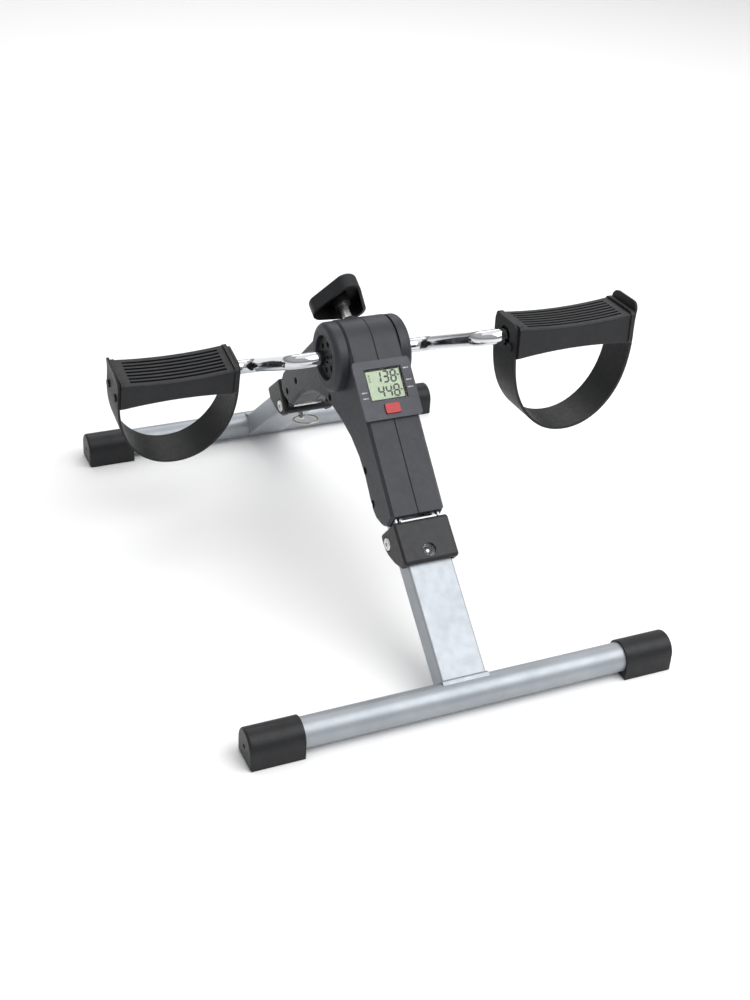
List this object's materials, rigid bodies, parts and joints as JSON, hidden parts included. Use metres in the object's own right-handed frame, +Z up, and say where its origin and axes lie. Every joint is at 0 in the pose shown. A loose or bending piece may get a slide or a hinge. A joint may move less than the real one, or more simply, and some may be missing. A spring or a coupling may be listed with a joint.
{
  "type": "folding pedal exerciser",
  "caption": "Folding under-desk pedal exerciser: A-frame housing with bent crank, strap pedals, tension knob, display and two fold-in legs on tubular bases.",
  "frame": {"origin": "on the floor midway between the two base tubes, on the centre plane", "axes": "+X towards the right-hand pedal, +Y to the rear, away from the display, +Z up"},
  "size_m": [0.3918, 0.5032, 0.2751],
  "materials": {
    "bearing_plastic": "moulded black",
    "bezel_plastic": "satin slate grey",
    "cap_rubber": "satin black",
    "cell_metal": "cell can",
    "chrome_rod": "bright chrome",
    "cover_plastic": "satin moulded black",
    "drum_plastic": "natural nylon",
    "felt": "pressed felt",
    "frame_steel": "silver powder paint",
    "housing_plastic": "satin moulded black",
    "knob_plastic": "satin moulded black",
    "lcd": "grey-green glass display",
    "magnet": "plated",
    "pcb": "green laminate",
    "pedal_plastic": "moulded black",
    "red_plastic": "red key",
    "ring_wire": "nickel wire",
    "sensor_plastic": "black",
    "silver_paint": "silver powder paint",
    "strap_rubber": "flexible black",
    "window": "clear",
    "zinc_steel": "bright zinc"
  },
  "bodies": {
    "frame": {"battery_cells": "cell_metal", "bearing_left": "bearing_plastic", "bearing_right": "bearing_plastic", "circuit_board": "pcb", "display_bezel": "bezel_plastic", "display_window": "window", "front_frame_channel": "frame_steel", "front_hinge_bracket": "frame_steel", "front_hinge_cover": "cover_plastic", "front_pivot_bolt": "zinc_steel", "housing_left": "housing_plastic", "housing_right": "housing_plastic", "housing_screws": "zinc_steel", "hub_cap_left": "housing_plastic", "hub_cap_right": "housing_plastic", "hub_shell": "frame_steel", "lcd_panel": "lcd", "rear_frame_channel": "frame_steel", "rear_hinge_bracket": "frame_steel", "rear_hinge_cover": "cover_plastic", "rear_pivot_bolt": "zinc_steel", "speed_sensor": "sensor_plastic", "tension_bush": "bearing_plastic"},
    "crank_set": {"crank": "chrome_rod", "brake_drum": "drum_plastic", "speed_magnet": "magnet"},
    "right_pedal": {"right_pedal_inner_plate": "pedal_plastic", "right_pedal_outer_plate": "pedal_plastic", "right_pedal_tread": "pedal_plastic", "right_strap": "strap_rubber", "right_strap_pegs": "strap_rubber"},
    "left_pedal": {"left_pedal_inner_plate": "pedal_plastic", "left_pedal_outer_plate": "pedal_plastic", "left_pedal_tread": "pedal_plastic", "left_strap": "strap_rubber", "left_strap_pegs": "strap_rubber"},
    "brake_slider": {"brake_shoe": "bearing_plastic", "brake_pad": "felt"},
    "tension_control": {"tension_knob": "knob_plastic", "tension_screw": "zinc_steel"},
    "mode_key": {"mode_button": "red_plastic"},
    "front_leg_set": {"front_leg": "silver_paint", "front_leg_fork": "frame_steel", "front_base_tube": "silver_paint", "front_end_caps": "cap_rubber", "front_pin_guide": "frame_steel", "front_weld_bead": "silver_paint"},
    "rear_leg_set": {"rear_leg": "silver_paint", "rear_leg_fork": "frame_steel", "rear_base_tube": "silver_paint", "rear_end_caps": "cap_rubber", "rear_pin_guide": "frame_steel", "rear_weld_bead": "silver_paint"},
    "front_pin_set": {"front_lock_pin": "zinc_steel", "front_pin_spring": "zinc_steel"},
    "rear_pin_set": {"rear_lock_pin": "zinc_steel", "rear_pin_spring": "zinc_steel"},
    "front_ring_set": {"front_pull_ring": "ring_wire"},
    "rear_ring_set": {"rear_pull_ring": "ring_wire"}
  },
  "joints": [
    {"name": "crank_turn", "type": "hinge", "parent": "frame", "child": "crank_set", "pos_m": [0, 0, 0.205], "axis": [1, 0, 0], "continuous": true},
    {"name": "right_pedal_spin", "type": "hinge", "parent": "crank_set", "child": "right_pedal", "pos_m": [0.138, -0.09623, 0.25403], "axis": [1, 0, 0], "continuous": true},
    {"name": "left_pedal_spin", "type": "hinge", "parent": "crank_set", "child": "left_pedal", "pos_m": [-0.138, 0.09623, 0.15597], "axis": [1, 0, 0], "continuous": true},
    {"name": "tension_knob_turn", "type": "hinge", "parent": "frame", "child": "tension_control", "pos_m": [0, 0, 0.205], "axis": [0, 0.8829, 0.4695], "range_deg": [-500, 500]},
    {"name": "brake_shoe_slide", "type": "slide", "parent": "frame", "child": "brake_slider", "axis": [0, -0.8829, -0.4695], "range_m": [-0.00174, 0.00174]},
    {"name": "mode_button_press", "type": "slide", "parent": "frame", "child": "mode_key", "axis": [0, 0.6947, -0.7193], "range_m": [0, 0.001], "stiffness_N_per_m": 300},
    {"name": "front_leg_fold", "type": "hinge", "parent": "frame", "child": "front_leg_set", "pos_m": [0, -0.126, 0.0925], "axis": [1, 0, 0], "range_deg": [0, 105]},
    {"name": "rear_leg_fold", "type": "hinge", "parent": "frame", "child": "rear_leg_set", "pos_m": [0, 0.126, 0.0925], "axis": [-1, 0, 0], "range_deg": [0, 105]},
    {"name": "front_pin_pull", "type": "slide", "parent": "front_leg_set", "child": "front_pin_set", "axis": [0, 0.6428, -0.766], "range_m": [0, 0.003], "stiffness_N_per_m": 500},
    {"name": "rear_pin_pull", "type": "slide", "parent": "rear_leg_set", "child": "rear_pin_set", "axis": [0, -0.6428, -0.766], "range_m": [0, 0.003], "stiffness_N_per_m": 500},
    {"name": "front_ring_swing", "type": "hinge", "parent": "front_pin_set", "child": "front_ring_set", "pos_m": [0, -0.13247, 0.07454], "axis": [1, 0, 0], "range_deg": [-105, 0]},
    {"name": "rear_ring_swing", "type": "hinge", "parent": "rear_pin_set", "child": "rear_ring_set", "pos_m": [0, 0.13247, 0.07454], "axis": [-1, 0, 0], "range_deg": [-105, 0]}
  ],
  "couplings": [
    {"joint": "tension_knob_turn", "follows": "brake_shoe_slide", "rad_per_m": -5025.1},
    {"joint": "front_ring_swing", "follows": "front_leg_fold", "ratio": -1},
    {"joint": "rear_ring_swing", "follows": "rear_leg_fold", "ratio": -1}
  ]
}
